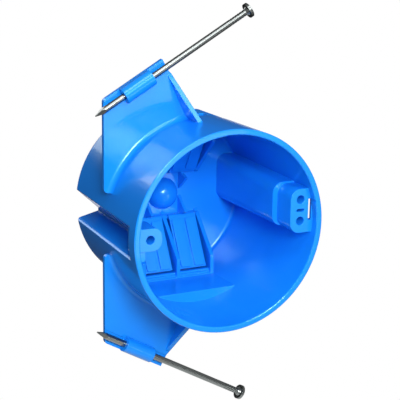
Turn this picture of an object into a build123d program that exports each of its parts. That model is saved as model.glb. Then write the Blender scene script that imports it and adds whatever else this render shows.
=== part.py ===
from build123d import *
import os
from math import cos, radians, sin, tan

# Round nail-on ceiling box, moulded in one piece, with its two nails and its four cable clamps.
# X points away from the joist, Y runs from the mouth into the box, and Z runs along the joist.
# Depths are measured from the rim. On export the origin moves to the plane of the screw pads,
# midway between the two fixture screws.

os.makedirs("parts", exist_ok=True)

# Shell
mouth_radius = 55.5
shell_depth = 90.6
shell_wall = 3.3
back_wall = 3.0
shell_draft = 1.4
back_edge_round = 3.0
floor_round = 2.0
rim_round = 0.7

# Flat top and bottom of the rear part, with a crescent step in front of each
flat_half_height = 45.1
flat_wall = 3.1
step_depth = 40.0
step_plate = 3.1

# Nailing flanges
flange_front = 40.5
flange_thickness = 2.6
flange_foot = 17.2
flange_edge_round = 2.2
rib_foot_x = -7.6
rib_foot_z = 54.5
rib_lean = 25.5
rib_thickness = 2.4
rib_height = 14.5
root_round = 3.0

# Nails
nail_angle = 30.0
nail_length = 101.6
nail_radius = 1.75
head_radius = 4.2
head_thickness = 1.6
neck_length = 1.4
neck_radius = 2.5
point_length = 6.5
point_flat = 0.5
grip_count = 6
grip_pitch = 1.6
grip_depth = 0.2
grip_width = 0.7
nail_depth = 38.6
tip_reach = 5.4
tip_height = 59.7

# Nail guides
guide_outer_offset = 4.1
guide_inner_offset = 3.3
guide_length = 41.2
arch_start = 12.4
arch_length = 18.4
arch_wall = 2.6
nail_clearance = 0.05
trough_half_width = 2.7
trough_depth = 2.1

# Screw bosses
screw_spacing = 88.9
screw_hole_radius = 2.4
pad_recess = 4.8
boss_depth = 19.5
joist_boss_half_width = 6.1
joist_boss_reach = 37.8
joist_boss_round = 5.0
far_boss_inset = 6.1
far_boss_low = 6.8
far_boss_high = 18.0
far_boss_round = 6.0
second_hole_rise = 12.0
vent_slot_length = 4.9
vent_slot_width = 1.6
slit_width = 1.9
slit_length = 12.0
slit_gap = 4.9
slit_plate = 1.0

# Hollows moulded into the outside behind the bosses
collar_depth = 8.0
hollow_wall = 2.6
hollow_front_wall = 2.6
shallow_hollow_depth = 5.9
channel_inset = 9.0
channel_low = 6.0
channel_high = 18.8
channel_spread = 2.0
notch_reach = 39.0
notch_floor_low = 6.8
notch_floor_high = 5.2
notch_edge_low = 10.0
notch_edge_high = 7.4
notch_edge_inset = 0.8
notch_edge_lean = 20.0
notch_high_round = 2.0
notch_low_round = 4.5

# Cable clamps
clamp_pitch = 21.6
web_thickness = 2.2
web_front = 64.3
web_knee = 33.8
web_foot = 10.9
shelf_level = 12.6
shelf_thickness = 2.4
hinge_reach = 3.4
hinge_clearance = 0.08
tongue_lean = 30.0
tongue_length = 31.9
tongue_thickness = 1.8
tongue_side_gap = 1.3
pad_rise = 1.3
pad_gap = 1.9
pad_margin = 0.8
pad_start = 2.2
pad_end_margin = 0.8
pad_round = 1.2
sill_gap = 0.9
sill_depth = 2.6
sill_step = 1.1
entry_length = 7.2
fin_thickness = 1.6
fin_start = 2.0
fin_peak = 10.2
fin_height = 10.4
fin_shoulder = 4.6
fin_shoulder_level = 11.9

# Dome in the middle of the back wall
dome_radius = 9.4
dome_wall = 2.4
dome_sink = 0.9

# Worked out from the sizes above
floor_depth = shell_depth - back_wall
joist_x = -mouth_radius
flange_back = flange_front + flange_thickness
hinge_radius = shelf_thickness / 2
overlap = 0.5
cut_reach = 12.0


def section(depth):
    """Plane across the box at a depth, with local x and y along X and Z."""
    return Plane(origin=(0, depth, 0), x_dir=(1, 0, 0), z_dir=(0, -1, 0))


def across(sketch, start, end):
    """Solid of a sketch drawn in X and Z, between two depths."""
    return extrude(section(start) * sketch, amount=start - end)


def beside(points, low_x, high_x):
    """Solid of an outline drawn in depth and height, between two places along X."""
    return extrude(Plane.YZ.offset(low_x) * make_face(Polyline(*points, close=True)), amount=high_x - low_x)


def outline(*points):
    """Flat face from points in X and Z."""
    return make_face(Polyline(*points, close=True))


def turned(radius, draft, depth, corner_round):
    """Solid of revolution about the box axis, narrower towards the back."""
    back_radius = radius - depth * tan(radians(draft))
    profile = outline((0, 0), (radius, 0), (back_radius, depth), (0, depth))
    corner = profile.vertices().sort_by(lambda v: v.X + v.Y)[-1]
    return revolve(fillet(corner, corner_round), axis=Axis.Y)


def rim_corner(inner, outer):
    """Ring between an edge of the rim at one radius and its round, which runs to the other radius."""
    corner = Pos((inner + outer) / 2, rim_round / 2) * Rectangle(abs(outer - inner), rim_round)
    return revolve(corner - Pos(outer, rim_round) * Circle(rim_round), axis=Axis.Y)


def mirrored(shape, side):
    """The shape itself for the upper side, or its mirror image for the lower side."""
    return shape if side > 0 else mirror(shape, about=Plane.XY)


def nail_place(along, offset=0.0):
    """Point in X and Z at a distance from the nail's tip, and at an offset outwards from its axis."""
    x = joist_x - tip_reach + along * cos(radians(nail_angle)) - offset * sin(radians(nail_angle))
    z = tip_height + along * sin(radians(nail_angle)) + offset * cos(radians(nail_angle))
    return x, z


def nail_line(along):
    """Frame on the nail axis whose Z runs from the tip to the head."""
    x, z = nail_place(along)
    direction = (cos(radians(nail_angle)), 0, sin(radians(nail_angle)))
    return Plane(origin=(x, nail_depth, z), x_dir=(0, 1, 0), z_dir=direction)


# Where the guide starts, at the joist edge of the flange
guide_start = tip_reach / cos(radians(nail_angle))
guide_end = guide_start + guide_length


def envelope():
    """Outside of the shell: a drafted drum with flats on the rear part."""
    drum = turned(mouth_radius, shell_draft, shell_depth, back_edge_round)
    flat_start = step_depth + step_plate
    flat_top = flat_half_height + flat_wall
    for side in (1, -1):
        slab = Box(2 * mouth_radius, shell_depth, mouth_radius)
        centre = (0, flat_start + shell_depth / 2, side * (flat_top + mouth_radius / 2))
        drum -= Pos(*centre) * slab
    return drum - rim_corner(mouth_radius, mouth_radius - rim_round)


def cavity():
    """Inside of the shell, with its flat floors behind the crescent steps."""
    space = turned(mouth_radius - shell_wall, shell_draft, floor_depth, floor_round)
    for side in (1, -1):
        slab = Box(2 * mouth_radius, floor_depth, mouth_radius)
        centre = (0, step_depth + floor_depth / 2, side * (flat_half_height + mouth_radius / 2))
        space -= Pos(*centre) * slab
    inner = mouth_radius - shell_wall - rim_round * tan(radians(shell_draft))
    return space + rim_corner(inner, inner + rim_round)


def rib_line(offset):
    """Ends of the flange's outer edge in X and Z, at an offset from the inner face of its rib."""
    lean = radians(rib_lean)
    run = (guide_height_at_rib() - rib_foot_z) / cos(lean)
    foot = (rib_foot_x + offset * cos(lean), rib_foot_z + offset * sin(lean))
    head = (foot[0] - run * sin(lean), foot[1] + run * cos(lean))
    return foot, head


def guide_height_at_rib():
    """Height at which the rib dies out, just inside the nail guide."""
    return nail_place(guide_end, -guide_inner_offset)[1] - rib_thickness


def flange():
    """Upper nailing flange with its rib and nail guide."""
    foot, head = rib_line(rib_thickness)
    outer_start = guide_start + guide_outer_offset * tan(radians(nail_angle))
    plate = outline(
        (joist_x, flange_foot),
        nail_place(outer_start, guide_outer_offset),
        nail_place(guide_end, guide_outer_offset),
        nail_place(guide_end, -guide_inner_offset),
        head,
        foot,
        (foot[0], flange_foot),
    )
    plate = fillet(plate.vertices().sort_by(Axis.X)[:2], flange_edge_round)
    root = across(plate, flange_front - root_round, flange_back) & flange_root()
    return across(plate, flange_front, flange_back) + root + rib() + guide()


def flange_root():
    """Ring of the concave round where the flange's front face meets the drum."""
    start = flange_front - root_round
    wall = mouth_radius - start * tan(radians(shell_draft))
    low, high = wall - overlap, wall + root_round
    block = Pos((low + high) / 2, start + root_round / 2) * Rectangle(high - low, root_round)
    return revolve(block - Pos(high, start) * Circle(root_round), axis=Axis.Y)


def rib():
    """Triangular gusset on the flange's outer edge, tallest where it meets the shell."""
    foot, head = rib_line(0.0)
    lean = radians(rib_lean)
    run = (head[1] - foot[1]) / cos(lean)
    root = Plane(
        origin=(foot[0], flange_front, foot[1]),
        x_dir=(-sin(lean), 0, cos(lean)),
        z_dir=(cos(lean), 0, sin(lean)),
    )
    side = outline(
        (-cut_reach, -flange_thickness),
        (run, -flange_thickness),
        (run, 0),
        (0, rib_height),
        (-cut_reach, rib_height),
    )
    return extrude(root * side, amount=rib_thickness)


def guide():
    """Arch over the nail, flush with the flange's outer edge, before its bore and troughs are cut."""
    foot = flange_back - nail_depth
    profile = Circle(nail_radius + arch_wall)
    profile += Pos(foot / 2, guide_outer_offset / 2) * Rectangle(foot, guide_outer_offset)
    return extrude(nail_line(guide_start + arch_start) * profile, amount=arch_length)


def guide_cuts():
    """Bore for the nail, with an open trough at each end of the arch."""
    bore = extrude(
        nail_line(guide_start - cut_reach) * Circle(nail_radius + nail_clearance),
        amount=guide_length + 2 * cut_reach,
    )
    trough = Rectangle(cut_reach + trough_depth, 2 * trough_half_width)
    cutter = Pos((trough_depth - cut_reach) / 2, 0) * trough
    first = extrude(nail_line(guide_start - cut_reach) * cutter, amount=cut_reach + arch_start)
    last = extrude(nail_line(guide_start + arch_start + arch_length) * cutter, amount=guide_length)
    return bore + first + last


def joist_boss():
    """Screw boss beside the joist, with rounded corners."""
    width = 2 * (mouth_radius - joist_boss_reach)
    pad = RectangleRounded(width, 2 * joist_boss_half_width, joist_boss_round)
    return across(Pos(-mouth_radius, 0) * pad, pad_recess, boss_depth)


def far_boss():
    """Wide boss opposite the joist, with two screw holes."""
    near = screw_spacing / 2 - far_boss_inset
    height = far_boss_low + far_boss_high
    middle = (far_boss_high - far_boss_low) / 2
    block = Pos(near + mouth_radius / 2, middle) * RectangleRounded(mouth_radius, height, far_boss_round)
    return across(block, pad_recess, boss_depth)


def channel_block(gap, start, end):
    """Drafted block behind the far boss, drawn in from its outside by a gap."""
    near = screw_spacing / 2 - channel_inset + gap
    faces = []
    for depth, spread in ((boss_depth, 0.0), (shell_depth + cut_reach, channel_spread)):
        low = -channel_low - spread + gap
        high = channel_high + spread - gap
        corner = far_boss_round - gap / 2
        face = RectangleRounded(mouth_radius, high - low, corner)
        faces.append(section(depth) * Pos(near + mouth_radius / 2, (low + high) / 2) * face)
    block = loft(faces)
    window = Box(4 * mouth_radius, end - start, 4 * mouth_radius)
    return block & (Pos(0, (start + end) / 2, 0) * window)


def notch_face(depth, wall):
    """Section of the wedge hollow along the joist side at a depth, grown by the wall around it."""
    edge_x = joist_x + depth * tan(radians(shell_draft)) + notch_edge_inset
    flare_x = edge_x - cut_reach * tan(radians(notch_edge_lean))
    face = outline(
        (flare_x - cut_reach, notch_edge_high + cut_reach),
        (flare_x, notch_edge_high + cut_reach),
        (edge_x, notch_edge_high),
        (-notch_reach, -notch_floor_high),
        (-notch_reach, -notch_floor_low),
        (edge_x, -notch_edge_low),
        (flare_x, -notch_edge_low - cut_reach),
        (flare_x - cut_reach, -notch_edge_low - cut_reach),
    )
    high_edge = face.vertices().sort_by_distance((edge_x, notch_edge_high))[0]
    face = fillet(high_edge, notch_high_round)
    low_edge = face.vertices().sort_by_distance((edge_x, -notch_edge_low))[0]
    face = fillet(low_edge, notch_low_round)
    return offset(face, wall) if wall else face


def notch(wall, start, end, inner_x):
    """Wedge hollow, or the form around it, between two depths and in to a place along X."""
    ends = (0, shell_depth + overlap)
    wedge = loft([section(depth) * notch_face(depth, wall) for depth in ends])
    window = Box(2 * mouth_radius, end - start, 4 * mouth_radius)
    return wedge & (Pos(inner_x - mouth_radius, (start + end) / 2, 0) * window)


def inner_forms():
    """Bosses and the inward walls of the hollows behind them."""
    forms = joist_boss() + far_boss()
    forms += channel_block(0.0, boss_depth, floor_depth + overlap)
    forms += notch(hollow_wall, boss_depth - hollow_front_wall, floor_depth + overlap, 0)
    shallow_x = joist_x + shallow_hollow_depth + hollow_wall
    return forms + notch(hollow_wall, collar_depth - hollow_front_wall, boss_depth, shallow_x)


def hollows():
    """Hollows cut from the outside behind the bosses, clear of the mouth by the collar."""
    deep_start = boss_depth + hollow_front_wall
    far = channel_block(hollow_wall, deep_start, shell_depth + overlap)
    shallow_edge = mouth_radius - shallow_hollow_depth
    low = -far_boss_low + hollow_wall
    high = far_boss_high - hollow_wall
    slot = Pos(shallow_edge + mouth_radius / 2, (low + high) / 2) * Rectangle(mouth_radius, high - low)
    near = notch(0, deep_start, shell_depth + overlap, 0)
    near += notch(0, collar_depth, deep_start + overlap, joist_x + shallow_hollow_depth)
    return far + across(slot, collar_depth, deep_start + overlap) + near


def screw_openings():
    """Screw holes, the short slot between them and the long slit beside the wall."""
    x = screw_spacing / 2
    hole = Circle(screw_hole_radius)
    cuts = across(Pos(-x, 0) * hole + Pos(x, 0) * hole + Pos(x, second_hole_rise) * hole, 0, boss_depth)
    slot = Pos(x, second_hole_rise / 2) * SlotOverall(vent_slot_length, vent_slot_width)
    cuts += across(slot, 0, pad_recess + collar_depth)
    low = x + slit_gap
    slit = Pos(low + slit_width / 2, second_hole_rise / 2) * Rectangle(slit_width, slit_length)
    plate_back = pad_recess + slit_plate
    cuts += across(slit, 0, plate_back + overlap)
    pocket_width = mouth_radius - shell_wall - low
    pocket = Pos(low + pocket_width / 2, second_hole_rise / 2) * Rectangle(pocket_width, slit_length)
    return cuts + across(pocket, plate_back, boss_depth - hollow_front_wall)


def bay_centres():
    """Places along X of the two clamp bays on each side."""
    return (-clamp_pitch / 2, clamp_pitch / 2)


def hinge_place():
    """Depth and height of the hinge line of an upper clamp."""
    return floor_depth - hinge_reach, shelf_level + shelf_thickness / 2


def web():
    """Plate between two bays, sloping from the back wall to the flat floor."""
    slope = (floor_depth - web_front) / (web_knee - web_foot)
    points = (
        (floor_depth + overlap, web_foot - overlap / slope),
        (web_front, web_knee),
        (web_front, flat_half_height + overlap),
        (floor_depth + overlap, flat_half_height + overlap),
    )
    return beside(points, -web_thickness / 2, web_thickness / 2)


def shelf():
    """Ledge on the back wall with its stiffening fin and the seat for one clamp's hinge bead."""
    hinge_y, hinge_z = hinge_place()
    half = clamp_pitch / 2
    points = (
        (hinge_y, shelf_level),
        (floor_depth + overlap, shelf_level),
        (floor_depth + overlap, shelf_level + shelf_thickness),
        (hinge_y, shelf_level + shelf_thickness),
    )
    seat = Cylinder(hinge_radius + hinge_clearance, 2 * clamp_pitch, rotation=(0, 90, 0))
    return beside(points, -half, half) + fin() - Pos(0, hinge_y, hinge_z) * seat


def fin():
    """Pointed gusset between the back wall and the shelf."""
    points = (
        (floor_depth + overlap, fin_start),
        (floor_depth, fin_start),
        (floor_depth - fin_height, fin_peak),
        (floor_depth - fin_shoulder, fin_shoulder_level),
        (floor_depth - fin_shoulder + overlap, shelf_level + overlap),
        (floor_depth + overlap, shelf_level + overlap),
    )
    return beside(points, -fin_thickness / 2, fin_thickness / 2)


def tongue_end():
    """Depth and height of the middle of the tongue's free end."""
    hinge_y, hinge_z = hinge_place()
    lean = radians(tongue_lean)
    return hinge_y - tongue_length * sin(lean), hinge_z + tongue_length * cos(lean)


def sill():
    """Stepped ledge that the free end of a tongue closes against."""
    top = tongue_end()[1] + sill_gap
    half = clamp_pitch / 2
    points = (
        (web_front + 2 * sill_step, top),
        (web_front + 2 * sill_step + sill_depth, top),
        (web_front + 2 * sill_step + sill_depth, flat_half_height + overlap),
        (web_front, flat_half_height + overlap),
        (web_front, top + 2 * sill_step),
        (web_front + sill_step, top + 2 * sill_step),
        (web_front + sill_step, top + sill_step),
        (web_front + 2 * sill_step, top + sill_step),
    )
    return beside(points, -half, half)


def clamp_walls():
    """Webs, shelves, fins and sills of the two bays on the upper side."""
    walls = web() + Pos(clamp_pitch, 0, 0) * web() + Pos(-clamp_pitch, 0, 0) * web()
    for x in bay_centres():
        walls += Pos(x, 0, 0) * (shelf() + sill())
    return walls


def cable_entries():
    """Openings in the flat side, behind the sills, that let a cable reach the two upper tongues."""
    width = clamp_pitch - web_thickness
    start = web_front + 2 * sill_step + sill_depth
    centre_z = flat_half_height + flat_wall / 2
    cuts = []
    for x in bay_centres():
        block = Box(width, entry_length, flat_wall + 2 * overlap)
        cuts.append(Pos(x, start + entry_length / 2, centre_z) * block)
    return cuts[0] + cuts[1]


def tongue():
    """Springy flap of the upper bay at X = 0, with its hinge bead and its two raised pads."""
    hinge_y, hinge_z = hinge_place()
    width = clamp_pitch - web_thickness - 2 * tongue_side_gap
    lean = radians(tongue_lean)
    flat = Plane(
        origin=(0, hinge_y, hinge_z),
        x_dir=(1, 0, 0),
        z_dir=(0, -cos(lean), -sin(lean)),
    )
    middle = hinge_radius - tongue_thickness / 2
    plate = Pos(0, tongue_length / 2, middle) * Box(width, tongue_length, tongue_thickness)
    pad_width = (width - pad_gap) / 2 - pad_margin
    pad_length = tongue_length - pad_start - pad_end_margin
    pad = RectangleRounded(pad_width, pad_length, pad_round)
    for side in (1, -1):
        place = Pos(side * (pad_gap + pad_width) / 2, pad_start + pad_length / 2, hinge_radius)
        plate += extrude(place * pad, amount=pad_rise)
    bead = Cylinder(hinge_radius, width, rotation=(0, 90, 0))
    return flat * (plate + bead)


def dome():
    """Hollow dome pressed into the back wall from behind."""
    middle = Pos(0, floor_depth + dome_sink, 0)
    outside = middle * Sphere(dome_radius)
    inside = middle * Sphere(dome_radius - dome_wall)
    return outside, inside


def box_body():
    """The moulding: shell, flanges, guides, bosses and clamp walls."""
    drum = envelope()
    body = drum
    for side in (1, -1):
        body += mirrored(flange(), side)
    body -= cavity()
    body += inner_forms() & drum
    dome_outside, dome_inside = dome()
    body += dome_outside & drum
    body -= hollows()
    for side in (1, -1):
        body += mirrored(clamp_walls(), side) & drum
        body -= mirrored(cable_entries(), side)
        body -= mirrored(guide_cuts(), side)
    return body - dome_inside - screw_openings()


def nail():
    """Round wire nail along its own Z, tip at zero, with a diamond point and a flat head."""
    square = 2 * nail_radius
    point = loft([
        Rectangle(point_flat, point_flat),
        Plane.XY.offset(point_length) * Rectangle(square, square),
    ])
    shank = Pos(0, 0, nail_length / 2) * Cylinder(nail_radius, nail_length)
    straight = Pos(0, 0, point_length + nail_length / 2) * Box(square, square, nail_length)
    solid = shank & (point + straight)
    neck = Pos(0, 0, nail_length - neck_length / 2) * Cone(nail_radius, neck_radius, neck_length)
    head = Pos(0, 0, nail_length + head_thickness / 2) * Cylinder(head_radius, head_thickness)
    solid += neck + head
    for index in range(grip_count):
        z = nail_length - neck_length - (index + 1) * grip_pitch
        ring = Cylinder(head_radius, grip_width) - Cylinder(nail_radius - grip_depth, grip_width)
        solid -= Pos(0, 0, z) * ring
    return solid


def save(shape, node):
    """Write one node, with its origin in the plane of the screw pads."""
    export_step(Pos(0, -pad_recess, 0) * shape, f"parts/{node}.step")


save(box_body(), "box_body")
for side, level in ((1, "upper"), (-1, "lower")):
    save(mirrored(nail_line(0.0) * nail(), side), f"{level}_nail")
    for x, place in zip(bay_centres(), ("joist_side", "far_side")):
        save(mirrored(Pos(x, 0, 0) * tongue(), side), f"{level}_{place}_clamp")
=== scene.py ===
import math

import bpy
from mathutils import Matrix, Vector

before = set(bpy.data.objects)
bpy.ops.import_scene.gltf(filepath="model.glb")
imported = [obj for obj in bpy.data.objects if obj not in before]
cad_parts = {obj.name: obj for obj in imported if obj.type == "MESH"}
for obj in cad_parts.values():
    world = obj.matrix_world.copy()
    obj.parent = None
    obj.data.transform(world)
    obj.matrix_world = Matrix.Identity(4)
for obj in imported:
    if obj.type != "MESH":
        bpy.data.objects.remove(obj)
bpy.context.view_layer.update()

# Camera, found by fitting the box's own sizes to the photograph
camera_location = (-0.30157, -0.57339, 0.19333)
camera_back = Vector((-0.4296, -0.8638, 0.2635))
camera_roll = math.radians(-0.81)
camera_lens = 115.07
camera_sensor = 36.0
camera_near = 0.01
camera_far = 50.0

# Studio: the room is light in front of the box and dark behind it, round a white backdrop
room_light = 0.35
room_dark = 0.04
room_front = (0.35, -0.70, 0.62)
room_edges = (-0.35, 0.6)
backdrop_edges = (0.97, 0.99)
white = (1, 1, 1, 1)

# Floor
floor_height = -0.36
floor_size = 0.8
floor_glow = 0.98
floor_grey = (0.25, 0.25, 0.25, 1)
floor_roughness = 0.9

# Lamps: direction from the box's middle, distance, size and radiance
box_middle = Vector((0, 0.03, 0))
lamps = {
    "key": ((-0.24, -0.880, 0.41), 0.75, 0.22, 37.0),
    "front": ((0.142, -0.807, 0.574), 1.3, 0.40, 7.0),
    "top": ((-0.171, -0.470, 0.866), 1.0, 0.31, 7.0),
    "low": ((0.366, -0.906, -0.208), 1.5, 0.32, 3.2),
    "back": ((-0.30, 0.84, 0.45), 1.4, 0.60, 2.8),
    "side": ((-0.85, -0.35, -0.40), 1.2, 0.50, 3.0),
}

# Blue plastic
plastic_ior = 1.53
plastic_glint = (0.35, 1.0, 1.0, 1)
coat_weight = 0.28
coat_roughness = 0.03
blue_deep = (0.004, 0.200, 0.78, 1)
blue_light = (0.007, 0.252, 0.92, 1)
plastic_roughness = (0.20, 0.30)
mottle_scale = 22.0
mottle_detail = 3.0
grain_scale = 160.0
grain_detail = 1.0
grain_strength = 0.03
grain_depth = 0.0004
edge_radius = 0.0005
edge_samples = 8

# Nail steel
steel_dark = (0.13, 0.142, 0.140, 1)
steel_light = (0.34, 0.365, 0.360, 1)
steel_roughness = (0.20, 0.34)
streak_scale = 900.0
streak_detail = 2.0
streak_length = 40
nail_lean = math.radians(30)


def add_camera():
    """Camera at the photograph's place, with its small roll."""
    right = Vector((-camera_back.y, camera_back.x, 0)).normalized()
    up = camera_back.cross(right).normalized()
    cos_roll, sin_roll = math.cos(camera_roll), math.sin(camera_roll)
    rolled_right = cos_roll * right - sin_roll * up
    rolled_up = sin_roll * right + cos_roll * up
    turn = Matrix((rolled_right, rolled_up, camera_back.normalized())).transposed()
    data = bpy.data.cameras.new("camera")
    data.lens = camera_lens
    data.sensor_width = camera_sensor
    data.clip_start = camera_near
    data.clip_end = camera_far
    camera = bpy.data.objects.new("camera", data)
    camera.matrix_world = Matrix.Translation(camera_location) @ turn.to_4x4()
    bpy.context.scene.collection.objects.link(camera)
    bpy.context.scene.camera = camera


def toward(nodes, links, place, direction, edges):
    """Smooth step of how far a world direction faces the given one."""
    facing = nodes.new("ShaderNodeVectorMath")
    facing.operation = "DOT_PRODUCT"
    facing.inputs[1].default_value = direction
    step = nodes.new("ShaderNodeMapRange")
    step.interpolation_type = "SMOOTHSTEP"
    step.inputs["From Min"].default_value = edges[0]
    step.inputs["From Max"].default_value = edges[1]
    links.new(place.outputs["Generated"], facing.inputs[0])
    links.new(facing.outputs["Value"], step.inputs["Value"])
    return step


def white_share(nodes, links):
    """Share that sees white: camera rays in full, mirrored and refracted rays by the second input."""
    path = nodes.new("ShaderNodeLightPath")
    mirrored = nodes.new("ShaderNodeMath")
    mirrored.operation = "ADD"
    share = nodes.new("ShaderNodeMath")
    share.operation = "MULTIPLY_ADD"
    share.use_clamp = True
    share.inputs[1].default_value = 1.0
    links.new(path.outputs["Is Glossy Ray"], mirrored.inputs[0])
    links.new(path.outputs["Is Transmission Ray"], mirrored.inputs[1])
    links.new(mirrored.outputs[0], share.inputs[0])
    links.new(path.outputs["Is Camera Ray"], share.inputs[2])
    return share


def add_world():
    """Room that is light in front and dark behind, with a white backdrop behind the box."""
    world = bpy.data.worlds.new("room")
    bpy.context.scene.world = world
    world.use_nodes = True
    nodes, links = world.node_tree.nodes, world.node_tree.links
    nodes.clear()
    output = nodes.new("ShaderNodeOutputWorld")
    place = nodes.new("ShaderNodeTexCoord")
    fade = toward(nodes, links, place, room_front, room_edges)
    fade.inputs["To Min"].default_value = room_dark
    fade.inputs["To Max"].default_value = room_light
    reach = toward(nodes, links, place, -camera_back.normalized(), backdrop_edges)
    room = nodes.new("ShaderNodeBackground")
    backdrop = nodes.new("ShaderNodeBackground")
    for shader in (room, backdrop):
        shader.inputs["Color"].default_value = white
    backdrop.inputs["Strength"].default_value = 1.0
    share = white_share(nodes, links)
    mix = nodes.new("ShaderNodeMixShader")
    links.new(fade.outputs["Result"], room.inputs["Strength"])
    links.new(reach.outputs["Result"], share.inputs[1])
    links.new(share.outputs[0], mix.inputs[0])
    links.new(room.outputs[0], mix.inputs[1])
    links.new(backdrop.outputs[0], mix.inputs[2])
    links.new(mix.outputs[0], output.inputs[0])


def add_lamp(name, direction, distance, size, radiance):
    """Square soft lamp in a direction from the box's middle, as bright as its radiance."""
    data = bpy.data.lights.new(name, "AREA")
    data.size = size
    data.energy = radiance * math.pi * size**2
    lamp = bpy.data.objects.new(name, data)
    aim = Vector(direction).normalized()
    lamp.location = aim * distance + box_middle
    lamp.rotation_mode = "QUATERNION"
    lamp.rotation_quaternion = aim.to_track_quat("Z", "Y")
    lamp.visible_camera = False
    bpy.context.scene.collection.objects.link(lamp)


def new_material(name):
    """Material with its nodes, links and main shader."""
    material = bpy.data.materials.new(name)
    material.use_nodes = True
    tree = material.node_tree
    return material, tree.nodes, tree.links, tree.nodes["Principled BSDF"]


def floor_material():
    """White floor that keeps a little of the shadow on it."""
    material, nodes, links, shader = new_material("floor_white")
    shader.inputs["Base Color"].default_value = floor_grey
    shader.inputs["Roughness"].default_value = floor_roughness
    glow = nodes.new("ShaderNodeEmission")
    glow.inputs["Strength"].default_value = 1.0
    seen = white_share(nodes, links)
    share = nodes.new("ShaderNodeMath")
    share.operation = "MULTIPLY"
    share.inputs[1].default_value = floor_glow
    mix = nodes.new("ShaderNodeMixShader")
    links.new(seen.outputs[0], share.inputs[0])
    links.new(share.outputs[0], mix.inputs[0])
    links.new(shader.outputs[0], mix.inputs[1])
    links.new(glow.outputs[0], mix.inputs[2])
    links.new(mix.outputs[0], nodes["Material Output"].inputs[0])
    return material


def add_floor():
    """Plain white floor well under the object."""
    half = floor_size / 2
    mesh = bpy.data.meshes.new("floor")
    corners = [(-half, -half, 0), (half, -half, 0), (half, half, 0), (-half, half, 0)]
    mesh.from_pydata(corners, [], [(0, 1, 2, 3)])
    mesh.materials.append(floor_material())
    floor = bpy.data.objects.new("floor", mesh)
    floor.location = (0, 0, floor_height)
    bpy.context.scene.collection.objects.link(floor)


def noise(nodes, scale, detail):
    """Noise texture of one scale."""
    texture = nodes.new("ShaderNodeTexNoise")
    texture.inputs["Scale"].default_value = scale
    texture.inputs["Detail"].default_value = detail
    return texture


def vary_finish(nodes, links, shader, texture, tints, roughness):
    """Let a noise texture vary the shader's colour and roughness."""
    tint = nodes.new("ShaderNodeMix")
    tint.data_type = "RGBA"
    tint.inputs["A"].default_value, tint.inputs["B"].default_value = tints
    gloss = nodes.new("ShaderNodeMapRange")
    gloss.inputs["To Min"].default_value, gloss.inputs["To Max"].default_value = roughness
    links.new(texture.outputs["Fac"], tint.inputs["Factor"])
    links.new(tint.outputs["Result"], shader.inputs["Base Color"])
    links.new(texture.outputs["Fac"], gloss.inputs["Value"])
    links.new(gloss.outputs["Result"], shader.inputs["Roughness"])


def plastic():
    """Glossy blue moulded plastic, slightly mottled, with a thin clear coat and softened edges."""
    material, nodes, links, shader = new_material("blue_plastic_gloss")
    shader.inputs["IOR"].default_value = plastic_ior
    shader.inputs["Specular Tint"].default_value = plastic_glint
    shader.inputs["Coat Weight"].default_value = coat_weight
    shader.inputs["Coat Roughness"].default_value = coat_roughness
    place = nodes.new("ShaderNodeTexCoord")
    mottle = noise(nodes, mottle_scale, mottle_detail)
    vary_finish(nodes, links, shader, mottle, (blue_deep, blue_light), plastic_roughness)
    grain = noise(nodes, grain_scale, grain_detail)
    bump = nodes.new("ShaderNodeBump")
    bump.inputs["Strength"].default_value = grain_strength
    bump.inputs["Distance"].default_value = grain_depth
    edge = nodes.new("ShaderNodeBevel")
    edge.samples = edge_samples
    edge.inputs["Radius"].default_value = edge_radius
    links.new(place.outputs["Object"], mottle.inputs["Vector"])
    links.new(place.outputs["Object"], grain.inputs["Vector"])
    links.new(edge.outputs["Normal"], bump.inputs["Normal"])
    links.new(grain.outputs["Fac"], bump.inputs["Height"])
    links.new(bump.outputs["Normal"], shader.inputs["Normal"])
    return material


def steel(name, lean):
    """Drawn nail wire with faint streaks along its length, which leans from the X axis."""
    material, nodes, links, shader = new_material(name)
    shader.inputs["Metallic"].default_value = 1.0
    place = nodes.new("ShaderNodeTexCoord")
    along = nodes.new("ShaderNodeMapping")
    along.vector_type = "TEXTURE"
    along.inputs["Rotation"].default_value = (0, lean, 0)
    along.inputs["Scale"].default_value = (streak_length, 1, 1)
    streak = noise(nodes, streak_scale, streak_detail)
    vary_finish(nodes, links, shader, streak, (steel_dark, steel_light), steel_roughness)
    links.new(place.outputs["Object"], along.inputs["Vector"])
    links.new(along.outputs["Vector"], streak.inputs["Vector"])
    return material


def dress(finishes, usual):
    """Give every node its finish, in all its material slots."""
    for name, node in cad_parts.items():
        finish = finishes.get(name, usual)
        for slot in node.material_slots:
            slot.material = finish
        if not node.material_slots:
            node.data.materials.append(finish)


add_camera()
add_world()
add_floor()
for name, lamp in lamps.items():
    add_lamp(name, *lamp)

nail_finishes = {
    "upper_nail": steel("nail_steel_upper", -nail_lean),
    "lower_nail": steel("nail_steel_lower", nail_lean),
}
dress(nail_finishes, plastic())

bpy.context.scene.view_settings.view_transform = "Standard"
